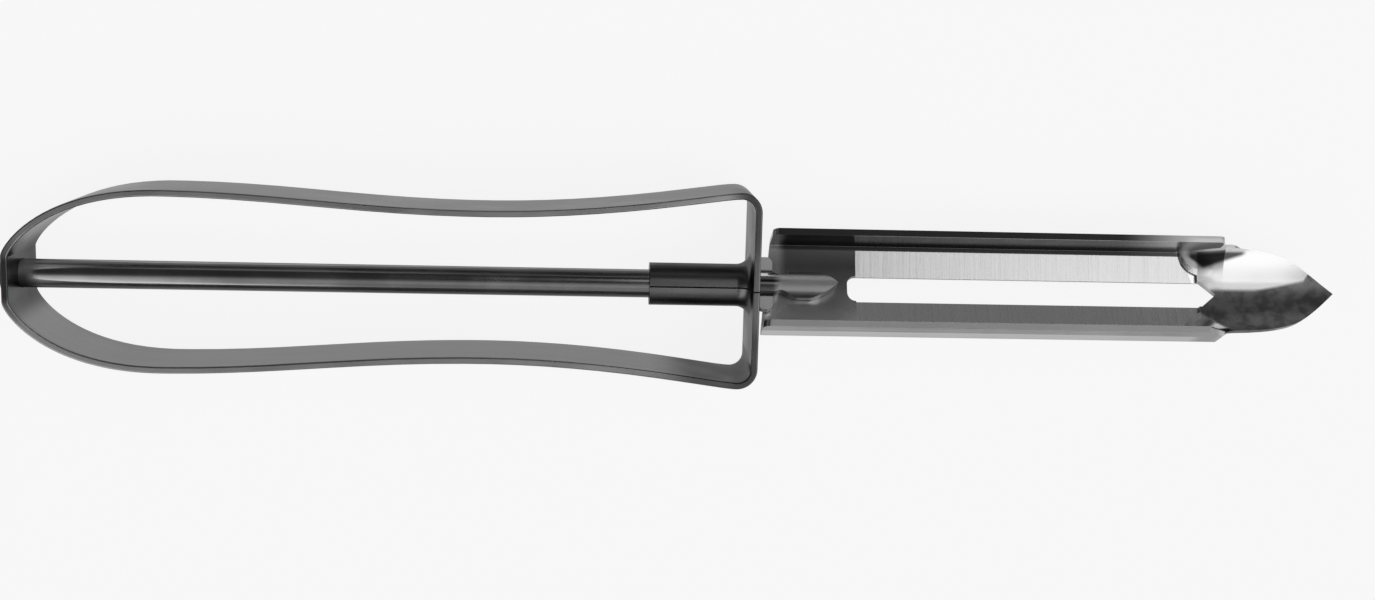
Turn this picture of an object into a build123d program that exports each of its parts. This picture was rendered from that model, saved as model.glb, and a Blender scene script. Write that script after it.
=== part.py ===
from build123d import *
import os

os.makedirs("parts", exist_ok=True)

# Swivel peeler: a steel strip bent into a loop handle, a round shank that
# turns in it, and a slotted trough blade fixed on the end of the shank.
# +X runs from the butt of the handle to the tip, +Z is up, and the loop
# lies flat on z = 0. The origin is under the middle of the whole length.

# Handle strip
strip_width = 12.7
strip_thickness = 0.9
strip_edge_round = 0.2
handle_length = 97.8
butt_seat_half = 2.9
butt_turn_lead = 1.1
bulge_station = 20.0
bulge_half_width = 12.0
bulge_rear_lead = 14.9
bulge_front_lead = 14.8
waist_station = 61.0
waist_half_width = 10.15
waist_rear_lead = 16.4
waist_front_lead = 17.6
front_half_width = 13.1
front_rear_lead = 2.9
corner_radius = 2.7

# Half-round bearing at the front of the strip
bearing_length = 14.4
bearing_bend_radius = 1.8
bearing_seam = 0.2
running_clearance = 0.06

# Shank
rod_radius = 1.9
butt_play = 0.2
head_radius = 3.3
head_height = 1.1
head_round = 0.75
ear_play = 0.2
ear_length = 2.0
ear_half_span = 3.7
ear_thickness = 1.3
ear_under_depth = 0.3
ear_corner = 0.8
neck_station = 0.8
neck_half_width = 1.1
leaf_station = 2.7
leaf_half_width = 1.7
taper_station = 6.6
taper_half_width = 1.45
tang_length = 8.8
tang_under_depth = 0.6
tang_seat_gap = 0.08

# Blade, with stations along it measured from its rear end
swivel_roll = 27.0
blade_sheet = 0.9
blade_gap = 1.4
blade_half_width = 6.9
blade_wall_height = 3.9
web_arch_radius = 60.0
web_corner_radius = 1.0
rear_skew = 0.8
wall_rear_round = 1.0
wall_front_station = 60.9
wall_front_skew = 1.5
wall_front_run = 2.7
wall_front_foot = 1.9
shoulder_station = 62.9
shoulder_skew = 1.3
shoulder_run = 1.4

# Scoop: the web bends in across its width and then rises to a point
scoop_start_station = 57.5
scoop_full_station = 63.6
scoop_arch_radius = 8.2
scoop_section_half_width = 6.3
scoop_rise_radius = 100.0
scoop_turn = 10.0
tip_base_half_width = 5.95
tip_side_station = 69.0
tip_side_half_width = 5.5
tip_shoulder_station = 72.4
tip_shoulder_half_width = 4.6
tip_nose_station = 75.5
tip_nose_half_width = 2.7
tip_station = 78.6

# Slot in the web, and the ground bevel along each side of it
slot_station = 11.2
slot_length = 51.3
slot_width = 3.55
slot_point_run = 2.1
slot_corner_radius = 1.2
bevel_start_gap = 1.2
bevel_end_gap = 0.4
bevel_width = 3.6
bevel_edge_thickness = 0.35

# Sizes that follow from the ones above
head_top = head_height + butt_play
blade_start = handle_length + blade_gap
overall_length = head_top + blade_start + tip_station
butt_x = head_top - overall_length / 2
wall_x = butt_x + handle_length
blade_x = butt_x + blade_start
axis_z = strip_width / 2
half_sheet = strip_thickness / 2
bore_radius = rod_radius + running_clearance
sleeve_radius = bore_radius + strip_thickness
mouth_radius = sleeve_radius + bearing_bend_radius
outer_bend = bearing_bend_radius + strip_thickness

mid_plane = Plane(origin=(butt_x, 0, axis_z))
shank_axis = Axis((butt_x, 0, axis_z), (1, 0, 0))

# The strip follows one half of the loop from the front wall to the butt and
# is mirrored: rounded front corner, waist, a wide bulge for the palm, seat
with BuildPart() as handle_band:
    with BuildLine(mid_plane):
        Line(
            (handle_length - half_sheet, 0),
            (handle_length - half_sheet, front_half_width - corner_radius),
        )
        RadiusArc(
            (handle_length - half_sheet, front_half_width - corner_radius),
            (handle_length - corner_radius, front_half_width - half_sheet),
            -corner_radius + half_sheet,
        )
        Bezier(
            (handle_length - corner_radius, front_half_width - half_sheet),
            (handle_length - corner_radius - front_rear_lead, front_half_width - half_sheet),
            (waist_station + waist_front_lead, waist_half_width - half_sheet),
            (waist_station, waist_half_width - half_sheet),
        )
        Bezier(
            (waist_station, waist_half_width - half_sheet),
            (waist_station - waist_rear_lead, waist_half_width - half_sheet),
            (bulge_station + bulge_front_lead, bulge_half_width - half_sheet),
            (bulge_station, bulge_half_width - half_sheet),
        )
        Bezier(
            (bulge_station, bulge_half_width - half_sheet),
            (bulge_station - bulge_rear_lead, bulge_half_width - half_sheet),
            (half_sheet, butt_seat_half + butt_turn_lead),
            (half_sheet, butt_seat_half),
        )
        Line((half_sheet, butt_seat_half), (half_sheet, 0))
    with BuildSketch(
        Plane(origin=(wall_x - half_sheet, 0, axis_z), x_dir=(1, 0, 0), z_dir=(0, 1, 0))
    ):
        RectangleRounded(strip_thickness, strip_width, strip_edge_round)
    sweep()
    mirror(about=Plane.XZ)

    # the two strip ends turn in at the front wall and run back as a
    # half-round sleeve on each side of the shank
    with BuildSketch(mid_plane):
        with BuildLine():
            Polyline(
                (handle_length - bearing_length, 0),
                (handle_length - bearing_length, sleeve_radius),
                (handle_length - outer_bend, sleeve_radius),
            )
            RadiusArc(
                (handle_length - outer_bend, sleeve_radius),
                (handle_length - strip_thickness, mouth_radius),
                -bearing_bend_radius,
            )
            Polyline(
                (handle_length - strip_thickness, mouth_radius),
                (handle_length - half_sheet, mouth_radius),
                (handle_length - half_sheet, 0),
                (handle_length - bearing_length, 0),
            )
        make_face()
    revolve(axis=shank_axis)
    with BuildSketch(mid_plane):
        with BuildLine():
            Polyline(
                (handle_length, mouth_radius),
                (handle_length, 0),
                (handle_length - bearing_length, 0),
                (handle_length - bearing_length, bore_radius),
                (handle_length - outer_bend, bore_radius),
            )
            RadiusArc(
                (handle_length - outer_bend, bore_radius),
                (handle_length, mouth_radius),
                -outer_bend,
            )
        make_face()
    revolve(axis=shank_axis, mode=Mode.SUBTRACT)

    # parting line between the two half shells
    with Locations((wall_x - bearing_length, 0, axis_z)):
        Box(
            bearing_length + strip_thickness,
            bearing_seam,
            strip_width + strip_thickness,
            align=(Align.MIN, Align.CENTER, Align.CENTER),
            mode=Mode.SUBTRACT,
        )

    # hole for the shank in the butt seat
    with BuildSketch(Plane(origin=(butt_x, 0, axis_z), z_dir=(1, 0, 0))):
        Circle(bore_radius)
    extrude(amount=strip_thickness * 2, both=True, mode=Mode.SUBTRACT)

handle_band.part.label = "handle_band"
export_step(handle_band.part, "parts/handle_band.step")

# Planes that turn with the blade: y across the trough, z out of its open side
swivel_plane = Plane(
    origin=(blade_x, 0, axis_z),
    x_dir=(1, 0, 0),
    z_dir=Vector(0, 0, 1).rotate(Axis.X, -swivel_roll),
)
section_plane = Plane(
    origin=(blade_x, 0, axis_z),
    x_dir=swivel_plane.y_dir,
    z_dir=(1, 0, 0),
)
side_plane = Plane(
    origin=(blade_x, 0, axis_z),
    x_dir=(1, 0, 0),
    z_dir=swivel_plane.y_dir * -1,
)
ear_x = ear_play - blade_gap
tang_x = ear_x + ear_length
tang_end = tang_x + tang_length

# Pinched, pointed end of the shank: it keeps the round top of the rod and is
# pressed flat underneath, where it lies in the trough
with BuildPart() as tang:
    with BuildSketch(section_plane.offset(ear_x)):
        Circle(rod_radius)
    extrude(amount=tang_end - ear_x)
    with BuildSketch(swivel_plane):
        with BuildLine():
            Polyline((tang_end, 0), (ear_x, 0), (ear_x, rod_radius), (tang_x, rod_radius))
            Spline(
                (tang_x, rod_radius),
                (tang_x + neck_station, neck_half_width),
                (tang_x + leaf_station, leaf_half_width),
                (tang_x + taper_station, taper_half_width),
                (tang_end, 0),
            )
        make_face()
        mirror(about=Plane.XZ)
    extrude(amount=rod_radius, both=True, mode=Mode.INTERSECT)
    with BuildSketch(swivel_plane.offset(-tang_under_depth)):
        with Locations(((ear_x + tang_end) / 2, 0)):
            Rectangle(tang_end - ear_x, 2 * rod_radius)
    extrude(amount=-rod_radius, mode=Mode.SUBTRACT)
    with BuildSketch(swivel_plane.offset(-ear_under_depth)):
        with Locations((ear_x + ear_length / 2, 0)):
            RectangleRounded(ear_length, 2 * ear_half_span, ear_corner)
    extrude(amount=ear_thickness)

# Round rod with a peened head behind the butt, carried on by the flattened
# ears in front of the bearing and the tang
with BuildPart() as shank:
    with BuildSketch(mid_plane):
        with BuildLine():
            Polyline(
                (-head_top, 0),
                (-head_top, head_radius),
                (-butt_play, head_radius),
                (-butt_play, rod_radius),
                (blade_start + ear_x, rod_radius),
                (blade_start + ear_x, 0),
                close=True,
            )
        make_face()
    revolve(axis=shank_axis)
    fillet(shank.edges().group_by(Axis.X)[0], radius=head_round)
    add(tang.part)

shank.part.label = "shank"
export_step(shank.part, "parts/shank.step")

# Sizes of the trough section, and of the bevels cut in it
web_inner = tang_under_depth + tang_seat_gap
web_outer = web_inner + blade_sheet
outer_arch = web_arch_radius + blade_sheet
wall_foot = outer_arch - (outer_arch**2 - blade_half_width**2) ** 0.5 - web_outer
clear_height = 2 * blade_wall_height
slot_end = slot_station + slot_length
slot_straight_end = slot_end - slot_point_run
bevel_start = slot_station + bevel_start_gap
bevel_length = slot_straight_end - bevel_end_gap - bevel_start
bevel_foot = bevel_edge_thickness - web_outer
bevel_outer = slot_width / 2 + bevel_width
bevel_top = web_arch_radius - (web_arch_radius**2 - bevel_outer**2) ** 0.5 - web_inner
rear_across = swivel_plane.y_dir * blade_half_width + Vector(rear_skew, 0, 0)
front_across = swivel_plane.y_dir * blade_half_width + Vector(wall_front_skew, 0, 0)
scoop_turn_axis = Axis(
    swivel_plane.from_local_coords((scoop_full_station, 0, scoop_rise_radius)),
    swivel_plane.y_dir,
)


def arched_band(station, inner_radius):
    """Section of the sheet, arched across its width, at one station."""
    half = scoop_section_half_width
    outer_radius = inner_radius + blade_sheet
    inner_rim = inner_radius - (inner_radius**2 - half**2) ** 0.5 - web_inner
    outer_rim = outer_radius - (outer_radius**2 - half**2) ** 0.5 - web_outer
    with BuildSketch(section_plane.offset(station)) as band:
        with BuildLine():
            ThreePointArc((-half, inner_rim), (0, -web_inner), (half, inner_rim))
            Line((half, inner_rim), (half, outer_rim))
            ThreePointArc((half, outer_rim), (0, -web_outer), (-half, outer_rim))
            Line((-half, outer_rim), (-half, inner_rim))
        make_face()
    return band.sketch


# The bent part of the sheet in front of the slot: the arch gets deeper, then
# the whole section curves up
with BuildPart() as scoop:
    flat_band = arched_band(scoop_start_station, web_arch_radius)
    deep_band = arched_band(scoop_full_station, scoop_arch_radius)
    loft(sections=[flat_band, deep_band], ruled=True)
    revolve(deep_band, axis=scoop_turn_axis, revolution_arc=-scoop_turn)

# Trough of bent sheet with a lightly arched web, tight corners and upright
# walls, carried on by the scoop
with BuildPart() as blade:
    with BuildSketch(section_plane.offset(-rear_skew)) as trough:
        with BuildLine():
            Polyline(
                (-blade_half_width, wall_foot),
                (-blade_half_width, clear_height),
                (blade_half_width, clear_height),
                (blade_half_width, wall_foot),
            )
            ThreePointArc(
                (blade_half_width, wall_foot),
                (0, -web_outer),
                (-blade_half_width, wall_foot),
            )
        make_face()
        fillet(trough.vertices().group_by(Axis.Y)[0], radius=web_corner_radius)
        offset(amount=-blade_sheet, mode=Mode.SUBTRACT)
    extrude(amount=shoulder_station + rear_skew)
    add(scoop.part)

    # seen from the side: wall height and rear end, cut a little askew
    with BuildSketch(side_plane) as side_view:
        with BuildLine():
            Polyline(
                (0, -clear_height),
                (0, blade_wall_height),
                (2 * tip_station, blade_wall_height),
                (2 * tip_station, -clear_height),
                close=True,
            )
        make_face()
        rear_corners = side_view.vertices().group_by(Axis.X)[0]
        fillet(rear_corners.sort_by(Axis.Y)[-1], radius=wall_rear_round)
    extrude(amount=clear_height, dir=rear_across, both=True, mode=Mode.INTERSECT)

    # the front ends of the walls slope down to the rim of the scoop
    with BuildSketch(side_plane):
        with BuildLine():
            Polyline(
                (wall_front_station, clear_height),
                (wall_front_station, blade_wall_height),
                (wall_front_station + wall_front_run, wall_front_foot),
                (2 * tip_station, wall_front_foot),
                (2 * tip_station, clear_height),
                close=True,
            )
        make_face()
    extrude(amount=clear_height, dir=front_across, both=True, mode=Mode.SUBTRACT)

    # seen from above: shoulders where the walls end, then the pointed tip
    with BuildSketch(swivel_plane):
        for side in (1, -1):
            shoulder = shoulder_station + side * shoulder_skew
            with BuildLine():
                Polyline(
                    (tip_station, 0),
                    (-clear_height, 0),
                    (-clear_height, side * clear_height),
                    (shoulder, side * clear_height),
                    (shoulder, side * blade_half_width),
                    (shoulder + shoulder_run, side * tip_base_half_width),
                )
                Spline(
                    (shoulder + shoulder_run, side * tip_base_half_width),
                    (tip_side_station, side * tip_side_half_width),
                    (tip_shoulder_station, side * tip_shoulder_half_width),
                    (tip_nose_station, side * tip_nose_half_width),
                    (tip_station, 0),
                )
            make_face()
    extrude(amount=clear_height, both=True, mode=Mode.INTERSECT)

    # slot with a rounded rear end and a pointed front end
    with BuildSketch(swivel_plane) as slot:
        with BuildLine():
            Polyline(
                (slot_station, -slot_width / 2),
                (slot_station, slot_width / 2),
                (slot_straight_end, slot_width / 2),
                (slot_end, 0),
                (slot_straight_end, -slot_width / 2),
                close=True,
            )
        make_face()
        fillet(slot.vertices().group_by(Axis.X)[0], radius=slot_corner_radius)
    extrude(amount=-clear_height, mode=Mode.SUBTRACT)

    # ground bevel down to a thin cutting edge on both sides of the slot
    with BuildSketch(section_plane.offset(bevel_start)):
        with BuildLine():
            Polyline(
                (0, bevel_foot),
                (slot_width / 2, bevel_foot),
                (bevel_outer, bevel_top),
                (0, bevel_top),
                close=True,
            )
        make_face()
        mirror(about=Plane.YZ)
    extrude(amount=bevel_length, mode=Mode.SUBTRACT)

blade.part.label = "blade"
export_step(blade.part, "parts/blade.step")
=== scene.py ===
import math

import bpy
from mathutils import Matrix, Vector

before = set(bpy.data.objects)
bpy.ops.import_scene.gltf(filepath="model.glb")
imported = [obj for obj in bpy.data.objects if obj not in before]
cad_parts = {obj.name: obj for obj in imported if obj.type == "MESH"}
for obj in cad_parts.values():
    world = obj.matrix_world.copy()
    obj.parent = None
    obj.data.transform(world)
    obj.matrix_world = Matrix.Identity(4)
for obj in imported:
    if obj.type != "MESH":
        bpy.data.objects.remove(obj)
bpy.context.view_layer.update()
print("frame loaded:", ", ".join(sorted(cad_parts)))

mm = 0.001


# short ways to write node trees; a value is a number or another node's output

def addNode(tree, kind, settings=None, inputs=None):
    node = tree.nodes.new(kind)
    for name, value in (settings or {}).items():
        setattr(node, name, value)
    for name, value in (inputs or {}).items():
        feed(tree, node.inputs[name], value)
    return node


def feed(tree, socket, value):
    if isinstance(value, bpy.types.NodeSocket):
        tree.links.new(value, socket)
    else:
        socket.default_value = value


def calc(tree, operation, first, second=0.0):
    return addNode(tree, "ShaderNodeMath", {"operation": operation}, {0: first, 1: second}).outputs[0]


def times(tree, first, *others):
    for other in others:
        first = calc(tree, "MULTIPLY", first, other)
    return first


def plus(tree, first, *others):
    for other in others:
        first = calc(tree, "ADD", first, other)
    return first


def minus(tree, first, second):
    return calc(tree, "SUBTRACT", first, second)


def most(tree, first, *others):
    for other in others:
        first = calc(tree, "MAXIMUM", first, other)
    return first


def eitherWay(tree, value):
    return calc(tree, "ABSOLUTE", value)


def outside(tree, share):
    return minus(tree, 1.0, share)


def rise(tree, value, start, end, low=0.0, high=1.0):
    # smooth step from low to high while the value goes from start to end
    return addNode(tree, "ShaderNodeMapRange", {"interpolation_type": "SMOOTHSTEP"}, {
        "Value": value, "From Min": start, "From Max": end, "To Min": low, "To Max": high}).outputs["Result"]


def fall(tree, value, start, end):
    return rise(tree, value, start, end, 1.0, 0.0)


def between(tree, value, low, high, soft):
    # 1 inside low..high, fading to 0 over the soft width outside it
    return times(tree, rise(tree, value, low - soft, low), fall(tree, value, high, high + soft))


def axesOf(tree, place):
    return addNode(tree, "ShaderNodeSeparateXYZ", inputs={"Vector": place}).outputs


def streaks(tree, place, scale, detail, roughness=0.6):
    # noise from 0 to 1, pulled out along the axes that have a low scale
    stretched = addNode(tree, "ShaderNodeVectorMath", {"operation": "MULTIPLY"}, {0: place, 1: scale})
    return addNode(tree, "ShaderNodeTexNoise", {"noise_dimensions": "3D"}, {
        "Vector": stretched.outputs[0], "Scale": 1.0, "Detail": detail, "Roughness": roughness}).outputs["Fac"]


def mottle(tree, place, scale, detail):
    return streaks(tree, place, (scale, scale, scale), detail)


def grey(level):
    return (level, level, level, 1.0)


def blend(tree, share, first, second):
    # from the first grey or colour to the second as the share goes from 0 to 1
    node = addNode(tree, "ShaderNodeMix", {"data_type": "RGBA"}, {"Factor": share})
    colours = [socket for socket in node.inputs if socket.type == "RGBA"]
    for socket, tone in zip(colours, (first, second)):
        feed(tree, socket, grey(tone) if isinstance(tone, float) else tone)
    return [socket for socket in node.outputs if socket.type == "RGBA"][0]


def facing(tree, direction, soft=0.05):
    # 1 where the surface faces the given way in the piece's own space, 0 where it faces away
    normal = addNode(tree, "ShaderNodeTexCoord").outputs["Normal"]
    dot = addNode(tree, "ShaderNodeVectorMath", {"operation": "DOT_PRODUCT"}, {0: normal, 1: direction})
    return rise(tree, dot.outputs["Value"], -soft, soft)


# what the three steels share: how far into the noise a change starts and ends, and how strong the bumps are

toneRange = (0.35, 0.65)
cloudRange = (0.3, 0.7)
patchRange = (0.25, 0.6)
polishRange = (0.35, 0.75)
bumpStrength = 0.6


def newSteel(name):
    material = bpy.data.materials.new(name)
    material.use_nodes = True
    tree = material.node_tree
    tree.nodes.clear()
    shader = addNode(tree, "ShaderNodeBsdfPrincipled", inputs={"Metallic": 1.0})
    out = addNode(tree, "ShaderNodeOutputMaterial")
    tree.links.new(shader.outputs["BSDF"], out.inputs["Surface"])
    place = addNode(tree, "ShaderNodeTexCoord").outputs["Object"]
    return material, tree, shader, place


def plainTone(tree, look, lines, clouds):
    mixed = plus(tree, times(tree, lines, look["lineShare"]), times(tree, clouds, 1.0 - look["lineShare"]))
    return blend(tree, rise(tree, mixed, *toneRange), look["dark"], look["light"])


def finishSteel(tree, shader, look, colour, roughness, height):
    feed(tree, shader.inputs["Base Color"], colour)
    feed(tree, shader.inputs["Roughness"], roughness)
    shader.inputs["Specular Tint"].default_value = grey(look["edgeTint"])
    bump = addNode(tree, "ShaderNodeBump", inputs={
        "Strength": bumpStrength, "Distance": look["lineDepth"], "Height": height})
    tree.links.new(bump.outputs["Normal"], shader.inputs["Normal"])


def dress(nodeName, material):
    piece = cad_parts[nodeName]
    for slot in piece.material_slots:
        slot.material = material
    if not piece.material_slots:
        piece.data.materials.append(material)


# shank and blade lie rolled about the shank's axis

swivelPlace = {
    "turn": 27.0,             # degrees
    "shankHeight": 6.35 * mm,
}


def rolled(tree, place, swivel):
    # the place in the trough's own frame: along the shank, across the trough, out of it
    return addNode(tree, "ShaderNodeMapping", {"vector_type": "TEXTURE"}, {
        "Vector": place, "Location": (0.0, 0.0, swivel["shankHeight"]),
        "Rotation": (-math.radians(swivel["turn"]), 0.0, 0.0)}).outputs["Vector"]


# handle strip: satin plated steel, rolled along its length
# here and below, a pair of places is where a change starts and where it ends

stripFinish = {
    "dark": 0.30,
    "light": 0.37,
    "edgeTint": 0.50,
    "roughness": (0.24, 0.36),
    "rollingLines": (45.0, 45.0, 3200.0),    # lines per metre along each axis
    "lineShare": 0.45,
    "lineDepth": 0.004 * mm,
    "cloudScale": 75.0,
    "grainScale": 5200.0,
    "grainHeight": 0.35,
    "sheared": 0.27,                         # both long edges of the strip
    "shearedLeast": 0.7,
    "frontEdgeShade": 0.05,                    # painted shade on the same edges along the front wall
    "shearedBeyond": (6.12 * mm, 6.18 * mm),
    "frontWall": (4.5 * mm, 8.5 * mm),
    "frontShade": 0.05,                         # painted shade inside the front wall and in the corner on the -Y side
    "frontShadeLeast": 0.7,
    "frontShadeUpTo": (3.5 * mm, 10.5 * mm),
    "frontShadeWallShare": 0.85,
    "cornerSide": (-9.5 * mm, -8.5 * mm),
    "cornerAhead": (-5.5 * mm, 1.5 * mm),
    "frontShadeCornerShare": 0.9,
    "frontShadeFaces": (-0.5, 0.8, 0.3),        # the way they face: inward, and the upper edge
    "shankShade": 0.11,                           # painted shade close to the shank, at the bearing and at the butt
    "shankShadeLeast": 0.75,
    "shankShadeBeside": (3.2 * mm, 7.2 * mm),
    "shankShadeAhead": (-7.5 * mm, -6.5 * mm),
    "atButt": (-86.8 * mm, -85.0 * mm),
    "seat": 0.04,                            # painted shade on the edges of the butt beside the shank
    "seatBeside": (2.2 * mm, 3.8 * mm),
}


def makeStripSteel(look):
    material, tree, shader, place = newSteel("strip_steel")
    x, y, z = axesOf(tree, place)
    lines = streaks(tree, place, look["rollingLines"], detail=2.0)
    clouds = mottle(tree, place, look["cloudScale"], detail=4.0)
    grain = mottle(tree, place, look["grainScale"], detail=1.0)
    sideways = eitherWay(tree, y)
    atButt = fall(tree, x, *look["atButt"])
    onWall = rise(tree, x, *look["frontWall"])

    # sheared edges, which lie above and below the shank's height; along the front wall their colour is a
    # painted shade
    sheared = rise(tree, eitherWay(tree, minus(tree, z, swivelPlace["shankHeight"])), *look["shearedBeyond"])
    edgeToneAndShade = blend(tree, onWall, look["sheared"], look["frontEdgeShade"])
    unevenCut = times(tree, sheared, rise(tree, clouds, *cloudRange, look["shearedLeast"], 1.0))
    colour = blend(tree, unevenCut, plainTone(tree, look, lines, clouds), edgeToneAndShade)

    # painted shade inside the front wall, darker toward its top, and in the corner on the -Y side
    towardTop = times(tree, onWall, rise(tree, z, *look["frontShadeUpTo"], 0.0, look["frontShadeWallShare"]))
    inCorner = times(tree, fall(tree, y, *look["cornerSide"]),
                     rise(tree, x, *look["cornerAhead"], 0.0, look["frontShadeCornerShare"]))
    frontShade = times(tree, most(tree, towardTop, inCorner), facing(tree, look["frontShadeFaces"]),
                    rise(tree, clouds, *patchRange, look["frontShadeLeast"], 1.0))
    colour = blend(tree, frontShade, colour, look["frontShade"])

    # painted shade round the shank
    shankShading = times(tree, fall(tree, sideways, *look["shankShadeBeside"]),
                  most(tree, rise(tree, x, *look["shankShadeAhead"]), atButt),
                  rise(tree, clouds, *patchRange, look["shankShadeLeast"], 1.0))
    colour = blend(tree, shankShading, colour, look["shankShade"])
    # painted shade on the butt's edges beside the shank
    seat = times(tree, sheared, atButt, fall(tree, sideways, *look["seatBeside"]))
    colour = blend(tree, seat, colour, look["seat"])

    roughness = rise(tree, clouds, *cloudRange, *look["roughness"])
    height = plus(tree, lines, times(tree, grain, look["grainHeight"]))
    finishSteel(tree, shader, look, colour, roughness, height)
    return material


# shank: drawn bright rod, pressed flat and dull at its ears and tang

rodFinish = {
    "dark": 0.29,
    "light": 0.39,
    "edgeTint": 0.40,
    "roughness": (0.13, 0.20),
    "drawLines": (25.0, 2600.0, 2600.0),
    "lineShare": 0.5,
    "lineDepth": 0.0016 * mm,
    "cloudScale": 110.0,
    "dentScale": 900.0,                      # pressed places are dented
    "dentHeight": 6.0,
    "pressed": 0.58,                         # the ears, and the round part between them on the +Y side
    "pressedRoughness": 0.39,                # added to the plain one, as the leaf's is
    "earsAlong": (9.6 * mm, 9.8 * mm),
    "earsBeyond": (1.7 * mm, 2.0 * mm),      # from the axis, where the round part ends
    "between": 0.10,                         # painted shade on the round part between the ears, on the -Y side
    "betweenAcross": (0.2 * mm, 1.0 * mm),
    "leafAlong": (11.6 * mm, 13.2 * mm),     # leaf of the tang
    "leafHighlight": 0.80,                        # painted highlight on its +Y flank, painted shade on its -Y flank and on its -Y side
    "leafShade": 0.20,
    "leafSideShade": 0.40,
    "leafAcross": (-0.4 * mm, 0.6 * mm),
    "leafSideFrom": (-1.55 * mm, -1.35 * mm),
    "leafRoughness": 0.23,
    "atButt": (-86.7 * mm, -84.5 * mm),      # painted light by its seat, and painted shade on the -Y side
    "buttLight": 0.46,
    "buttShade": 0.06,
    "buttShadeAcross": (-1.2 * mm, 1.2 * mm),
}


def makeRodSteel(look):
    material, tree, shader, place = newSteel("rod_steel")
    along, across = axesOf(tree, rolled(tree, place, swivelPlace))[:2]
    lines = streaks(tree, place, look["drawLines"], detail=2.0)
    clouds = mottle(tree, place, look["cloudScale"], detail=4.0)

    # parts of the shank, each as a share from 0 to 1
    leaf = rise(tree, along, *look["leafAlong"])
    pastBearing = times(tree, rise(tree, along, *look["earsAlong"]), outside(tree, leaf))
    beyondRound = rise(tree, eitherWay(tree, across), *look["earsBeyond"])
    ears = times(tree, pastBearing, beyondRound)
    neck = times(tree, pastBearing, outside(tree, beyondRound))
    atButt = fall(tree, along, *look["atButt"])

    # the round part between the ears: painted shade on its -Y side, the pressed tone on its +Y side
    neckShadeAndTone = blend(tree, rise(tree, across, *look["betweenAcross"]), look["between"], look["pressed"])
    colour = blend(tree, neck, plainTone(tree, look, lines, clouds), neckShadeAndTone)
    # painted light by the butt's seat, painted shade on its -Y side
    paintedLightAndShade = blend(tree, rise(tree, across, *look["buttShadeAcross"]), look["buttShade"], look["buttLight"])
    colour = blend(tree, atButt, colour, paintedLightAndShade)
    # painted highlight and shade on the flanks and the side of the tang's leaf
    flankLightAndShade = blend(tree, rise(tree, across, *look["leafAcross"]), look["leafShade"], look["leafHighlight"])
    flankLightAndShade = blend(tree, fall(tree, across, *look["leafSideFrom"]), flankLightAndShade, look["leafSideShade"])
    colour = blend(tree, leaf, colour, flankLightAndShade)
    colour = blend(tree, ears, colour, look["pressed"])

    roughness = plus(tree, rise(tree, clouds, *polishRange, *look["roughness"]),
                     times(tree, leaf, look["leafRoughness"]),
                     times(tree, most(tree, ears, atButt), look["pressedRoughness"]))
    dents = times(tree, mottle(tree, place, look["dentScale"], detail=2.0), plus(tree, leaf, ears))
    height = plus(tree, lines, times(tree, dents, look["dentHeight"]))
    finishSteel(tree, shader, look, colour, roughness, height)
    return material


# blade: polished sheet, with the two lips of its slot ground bright across their width
# its places, also those of the lips and the scoop, are in the trough's own frame

bladeFinish = {
    "dark": 0.30,
    "light": 0.39,
    "edgeTint": 0.62,
    "roughness": (0.16, 0.23),
    "sheetLines": (30.0, 2400.0, 2400.0),
    "lineShare": 0.4,
    "lineDepth": 0.0016 * mm,
    "cloudScale": 120.0,
    "halves": 0.5 * mm,                      # softness of the change from the -Y half to the +Y half
    "rear": (12.5 * mm, 14.0 * mm),          # behind this the trough's corners have no painted shade, and its web a lighter one
    "front": (59.0 * mm, 70.5 * mm),         # toward the mouth of the scoop the +Y wall loses its painted shade, and its edge takes a painted highlight
    "wallEdge": (3.85 * mm, 3.89 * mm),      # sheared edges of the walls, by their height out of the trough
    "lowerEdgeHighlight": 0.50,                          # painted highlight on the one on the -Y side
    "edgeRoughness": 0.3,                    # added to the plain one, as the others below are
    "shadeTone": 0.05,                         # painted shade in the corners of the trough and on the wall's edge on the +Y side
    "cornerAcross": (5.45 * mm, 6.06 * mm, 0.15 * mm),     # from, to, and softness
    "cornerDepth": (-0.8 * mm, 3.65 * mm, 0.2 * mm),
    "cornerClouds": (0.2, 0.5),
    "cornerLeast": 0.8,
    "shadedWeb": 0.10,                       # painted shade on the web where it isn't ground, on the +Y side, and lighter at its rear end
    "rearWebShade": 0.30,
    "webLight": 0.85,                       # painted light on the web's -Y side
    "webAcross": (-5.5 * mm, 3.5 * mm),
    "webAlong": (68.3 * mm, 70.3 * mm),
    "webDepth": (1.7 * mm, 2.0 * mm),
    "webRoughness": 0.07,
}

lipFinish = {
    "along": (23.45 * mm, 70.9 * mm, 0.12 * mm),
    "across": (1.2 * mm, 5.32 * mm, 0.06 * mm),            # either way from the slot's middle line
    "depth": (-1.45 * mm, -0.3 * mm, 0.1 * mm),
    "dark": 0.44,
    "light": 0.60,
    "roughness": (0.22, 0.35),
    "grindMarks": (2300.0, 60.0, 60.0),
    "markRange": (0.3, 0.7),
    "markHeight": 9.0,
    "markJagged": 0.75,
    "runOut": 0.72,                          # front end of the upper lip, where the stone ran out
    "runOutFrom": (70.85 * mm, 71.15 * mm),
    "runOutSlant": 0.35,
    "runOutAcross": (0.0, 1.0 * mm),
}

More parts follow.
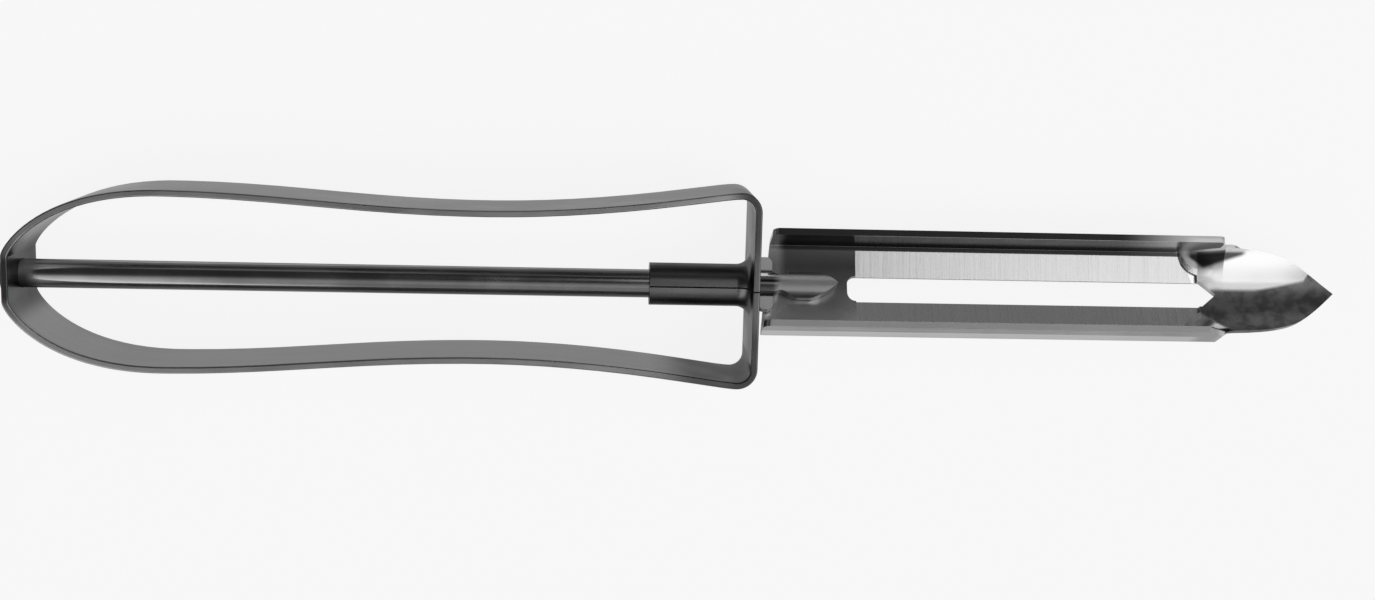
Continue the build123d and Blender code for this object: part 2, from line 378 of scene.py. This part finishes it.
scoopFinish = {
    "along": (71.4 * mm, 72.8 * mm),
    "middle": 0.60,                          # bright half: painted highlight near the middle line, plain tone out from it
    "bright": 0.385,
    "brightAcross": (1.0 * mm, 2.4 * mm),
    "scoopShade": 0.10,                            # painted shade on the lower half, mottled, from a V at the slot's end on
    "scoopShadePatch": 0.20,
    "patchScale": 420.0,
    "dullRoughness": 0.26,
    "scoopShadeTop": 0.6 * mm,
    "scoopShadeRises": (79.0 * mm, 0.19),          # it reaches higher from here on, by this slope
    "pointRises": (85.7 * mm, 1.3),          # and faster still at the point
    "scoopShadeSoft": 0.3 * mm,
    "apexAlong": 70.2 * mm,
    "apexAcross": -2.0 * mm,
    "apexSlopes": (0.8, -1.1),
    "apexSoft": 0.4 * mm,
    "wedgeShade": 0.035,                          # painted shade: a dark wedge where the foot of the +Y wall runs out
    "wedgeAlong": (70.3 * mm, 76.8 * mm, 1.0 * mm),
    "wedgeWidest": 71.8 * mm,                # it narrows both ways from here
    "wedgeSlopes": (0.28, -0.75),
    "wedgeAcross": 3.7 * mm,
    "wedgeSoft": 0.3 * mm,
    "shadeLiftDepth": (-0.8 * mm, 2.0 * mm),      # the wedge's painted shade stops up the wall
    "shadeLiftAcross": (5.3 * mm, 5.9 * mm),
    "mouthLight": 0.55,                           # painted light on the front end of the +Y wall and on the web beside it
    # painted highlight on the +Y wall's edge toward the mouth
    "mouthEdgeHighlight": 0.85,
    "mouthRoughness": 0.3,
    "mouthAlong": (68.0 * mm, 69.5 * mm),
    "mouthAcross": (0.8 * mm, 1.5 * mm),
    "mouthOuter": (6.4 * mm, 6.7 * mm),
    "mouthWall": (5.9 * mm, 6.4 * mm, 0.3 * mm),
    "mouthLip": (69.0 * mm, 70.5 * mm, 0.8 * mm),
}


def steeper(tree, value, slopes):
    # the value times each slope, whichever gives more: a V with its point at 0
    return most(tree, *(times(tree, value, slope) for slope in slopes))


def risingFrom(tree, value, start, slope):
    return times(tree, most(tree, minus(tree, value, start), 0.0), slope)


def groundShare(tree, look, along, across, depth):
    return times(tree, between(tree, along, *look["along"]),
                 between(tree, eitherWay(tree, across), *look["across"]), between(tree, depth, *look["depth"]))


def wedgeShare(tree, look, along, across, depth):
    slant = steeper(tree, minus(tree, along, look["wedgeWidest"]), look["wedgeSlopes"])
    over = minus(tree, across, plus(tree, slant, look["wedgeAcross"]))
    # up the wall the wedge's painted shade is lifted
    paintedLightAndShade = times(tree, rise(tree, depth, *look["shadeLiftDepth"]), rise(tree, across, *look["shadeLiftAcross"]))
    return times(tree, rise(tree, over, -look["wedgeSoft"], look["wedgeSoft"]),
                 between(tree, along, *look["wedgeAlong"]), outside(tree, paintedLightAndShade))


def scoopShadeShare(tree, look, along, across):
    top = plus(tree, risingFrom(tree, along, *look["scoopShadeRises"]),
               risingFrom(tree, along, *look["pointRises"]), look["scoopShadeTop"])
    vee = steeper(tree, minus(tree, across, look["apexAcross"]), look["apexSlopes"])
    past = minus(tree, minus(tree, along, look["apexAlong"]), vee)
    return times(tree, fall(tree, minus(tree, across, top), -look["scoopShadeSoft"], look["scoopShadeSoft"]),
                 rise(tree, past, -look["apexSoft"], look["apexSoft"]))


def mouthShare(tree, look, along, across):
    ends = most(tree, between(tree, across, *look["mouthWall"]), between(tree, along, *look["mouthLip"]))
    return times(tree, ends, fall(tree, across, *look["mouthOuter"]), rise(tree, along, *look["mouthAlong"]),
                 rise(tree, across, *look["mouthAcross"]))


def makeBladeSteel(look, lip, scoop):
    material, tree, shader, place = newSteel("blade_steel")
    turned = rolled(tree, place, swivelPlace)
    along, across, depth = axesOf(tree, turned)
    turn = math.radians(swivelPlace["turn"])
    openSide = facing(tree, (0.0, math.sin(turn), math.cos(turn)))
    lines = streaks(tree, turned, look["sheetLines"], detail=2.0)
    clouds = mottle(tree, turned, look["cloudScale"], detail=4.0)
    marks = streaks(tree, turned, lip["grindMarks"], detail=4.0, roughness=lip["markJagged"])
    patches = mottle(tree, turned, scoop["patchScale"], detail=3.0)

    # parts of the blade, each as a share from 0 to 1
    ground = times(tree, openSide, groundShare(tree, lip, along, across, depth))
    wedgeShade = times(tree, openSide, wedgeShare(tree, scoop, along, across, depth))
    scoopShade = times(tree, openSide, scoopShadeShare(tree, scoop, along, across))
    inScoop = times(tree, openSide, rise(tree, along, *scoop["along"]))
    mouthLight = mouthShare(tree, scoop, along, across)
    lower = fall(tree, across, -look["halves"], look["halves"])
    upper = outside(tree, lower)
    wallEdge = rise(tree, depth, *look["wallEdge"])
    rear = fall(tree, along, *look["rear"])
    front = rise(tree, along, *look["front"])
    web = times(tree, openSide, fall(tree, along, *look["webAlong"]),
                fall(tree, eitherWay(tree, depth), *look["webDepth"]))
    corner = times(tree, between(tree, eitherWay(tree, across), *look["cornerAcross"]),
                   between(tree, depth, *look["cornerDepth"]),
                   rise(tree, clouds, *look["cornerClouds"], look["cornerLeast"], 1.0),
                   outside(tree, rear), outside(tree, times(tree, front, upper)))

    # rolled sheet, then the painted light and shade that lie over it
    # painted highlight near the scoop's middle line
    bright = blend(tree, rise(tree, across, *scoop["brightAcross"]), scoop["middle"], scoop["bright"])
    colour = blend(tree, inScoop, plainTone(tree, look, lines, clouds), bright)
    # painted shade on the web's +Y side, lighter at its rear end, and painted light on its -Y side
    shaded = blend(tree, rear, look["shadedWeb"], look["rearWebShade"])
    webLightAndShade = blend(tree, fall(tree, across, *look["webAcross"]), shaded, look["webLight"])
    colour = blend(tree, web, colour, webLightAndShade)
    # painted shade in the trough's corners
    colour = blend(tree, corner, colour, look["shadeTone"])
    # painted light at the mouth of the scoop
    colour = blend(tree, mouthLight, colour, scoop["mouthLight"])
    # mottled painted shade on the scoop's lower half
    mottledShade = blend(tree, rise(tree, patches, *toneRange), scoop["scoopShade"], scoop["scoopShadePatch"])
    colour = blend(tree, scoopShade, colour, mottledShade)
    # painted shade in the wedge at the foot of the +Y wall
    colour = blend(tree, wedgeShade, colour, scoop["wedgeShade"])
    # painted highlight on the -Y wall's edge; painted shade on the +Y wall's edge, turning to a painted
    # highlight toward the mouth
    colour = blend(tree, times(tree, wallEdge, lower), colour, look["lowerEdgeHighlight"])
    upperEdgeLightAndShade = blend(tree, front, look["shadeTone"], scoop["mouthEdgeHighlight"])
    colour = blend(tree, times(tree, wallEdge, upper), colour, upperEdgeLightAndShade)

    # ground lips
    stone = blend(tree, rise(tree, marks, *lip["markRange"]), lip["dark"], lip["light"])
    slantwise = plus(tree, along, times(tree, across, lip["runOutSlant"]))
    runOut = times(tree, rise(tree, slantwise, *lip["runOutFrom"]), rise(tree, across, *lip["runOutAcross"]))
    stone = blend(tree, runOut, stone, lip["runOut"])
    colour = blend(tree, ground, colour, stone)

    plain = plus(tree, rise(tree, clouds, *polishRange, *look["roughness"]),
                 times(tree, wallEdge, look["edgeRoughness"]), times(tree, web, look["webRoughness"]),
                 times(tree, scoopShade, scoop["dullRoughness"]), times(tree, mouthLight, scoop["mouthRoughness"]))
    roughness = plus(tree, times(tree, rise(tree, marks, *lip["markRange"], *lip["roughness"]), ground),
                     times(tree, plain, outside(tree, ground)))
    height = plus(tree, lines, times(tree, marks, ground, lip["markHeight"]))
    finishSteel(tree, shader, look, colour, roughness, height)
    return material


dress("handle_band", makeStripSteel(stripFinish))
dress("shank", makeRodSteel(rodFinish))
dress("blade", makeBladeSteel(bladeFinish, lipFinish, scoopFinish))
print("steel finishes on")


# floor: pale, and it keeps the object's soft shadow faint, as on a light table

floorLook = {
    "halfSize": 4.0,
    "drop": 0.05 * mm,        # below the plane the handle lies on
    "paint": 0.92,
    "glow": 0.943,            # what the camera and reflections see of a light table
    "glowShare": 0.93,
}


def makeFloor(look):
    half, height = look["halfSize"], -look["drop"]
    mesh = bpy.data.meshes.new("floor")
    corners = [(-half, -half, height), (half, -half, height), (half, half, height), (-half, half, height)]
    mesh.from_pydata(corners, [], [(0, 1, 2, 3)])
    floor = bpy.data.objects.new("floor", mesh)
    bpy.context.scene.collection.objects.link(floor)
    material = bpy.data.materials.new("pale_floor")
    material.use_nodes = True
    tree = material.node_tree
    tree.nodes.clear()
    paint = addNode(tree, "ShaderNodeBsdfDiffuse", inputs={"Color": grey(look["paint"])})
    glow = addNode(tree, "ShaderNodeEmission", inputs={"Color": grey(look["glow"]), "Strength": 1.0})
    rays = addNode(tree, "ShaderNodeLightPath").outputs
    seen = most(tree, rays["Is Camera Ray"], rays["Is Glossy Ray"], rays["Is Transmission Ray"])
    both = addNode(tree, "ShaderNodeMixShader", inputs={
        0: times(tree, seen, look["glowShare"]), 1: paint.outputs[0], 2: glow.outputs[0]})
    out = addNode(tree, "ShaderNodeOutputMaterial")
    tree.links.new(both.outputs[0], out.inputs["Surface"])
    mesh.materials.append(material)


makeFloor(floorLook)


# studio: a quiet grey room with soft panels overhead

studioLook = {
    "room": 0.05,
    "horizon": 0.02,          # panels end this close to level
    # x and y reach of each panel at a height of 1, its soft edge and its level
    "panels": [
        ((0.22, 1.40), (-0.90, 0.33), 0.09, 2.3),      # scoop
        ((0.10, 1.40), (0.42, 0.70), 0.08, 1.08),      # upper lip
        ((-3.00, -0.50), (-1.80, -0.35), 0.30, 1.7),   # strip at the butt
        ((-8.00, 8.00), (-2.20, -0.30), 0.40, 0.30),   # -Y halves of rod and sleeve
        ((-8.00, 8.00), (-9.00, -2.60), 0.40, 0.08),   # outer faces on the -Y side
        ((-8.00, 8.00), (1.80, 4.50), 0.30, 0.26),     # inner faces of the -Y strip
        ((-0.60, 0.15), (-0.60, 0.10), 0.10, 0.06),    # overhead
        ((1.70, 9.00), (-4.00, 1.40), 0.40, 0.9),      # ends that face forward
    ],
}


def makeStudio(look):
    world = bpy.data.worlds.new("studio")
    bpy.context.scene.world = world
    world.use_nodes = True
    tree = world.node_tree
    tree.nodes.clear()
    sideX, sideY, upward = axesOf(tree, addNode(tree, "ShaderNodeTexCoord").outputs["Generated"])
    upward = most(tree, upward, look["horizon"])
    x = calc(tree, "DIVIDE", sideX, upward)
    y = calc(tree, "DIVIDE", sideY, upward)
    total = look["room"]
    for reachX, reachY, soft, level in look["panels"]:
        panel = times(tree, between(tree, x, *reachX, soft), between(tree, y, *reachY, soft), level)
        total = plus(tree, panel, total)
    back = addNode(tree, "ShaderNodeBackground", inputs={"Color": grey(1.0), "Strength": total})
    out = addNode(tree, "ShaderNodeOutputWorld")
    tree.links.new(back.outputs[0], out.inputs["Surface"])


makeStudio(studioLook)
print("floor and studio ready")


# camera: above the handle, looking almost straight down

cameraLook = {
    "place": (-0.01572, 0.03618, 0.24292),
    "tilt": 9.188,            # degrees about its own axes
    "pan": 3.898,
    "lean": -1.567,
    "lens": 46.57,
    "sensorWidth": 36.0,
    "clip": (0.01, 20.0),
}


def makeCamera(look):
    data = bpy.data.cameras.new("camera")
    data.lens = look["lens"]
    data.sensor_width = look["sensorWidth"]
    data.clip_start, data.clip_end = look["clip"]
    camera = bpy.data.objects.new("camera", data)
    bpy.context.scene.collection.objects.link(camera)
    lean, tilt, pan = (Matrix.Rotation(math.radians(look[name]), 3, axis)
                       for name, axis in (("lean", "Z"), ("tilt", "X"), ("pan", "Y")))
    camera.matrix_world = Matrix.LocRotScale(Vector(look["place"]), (lean @ tilt @ pan).transposed(), None)
    bpy.context.scene.camera = camera


makeCamera(cameraLook)
bpy.context.scene.view_settings.view_transform = "Standard"
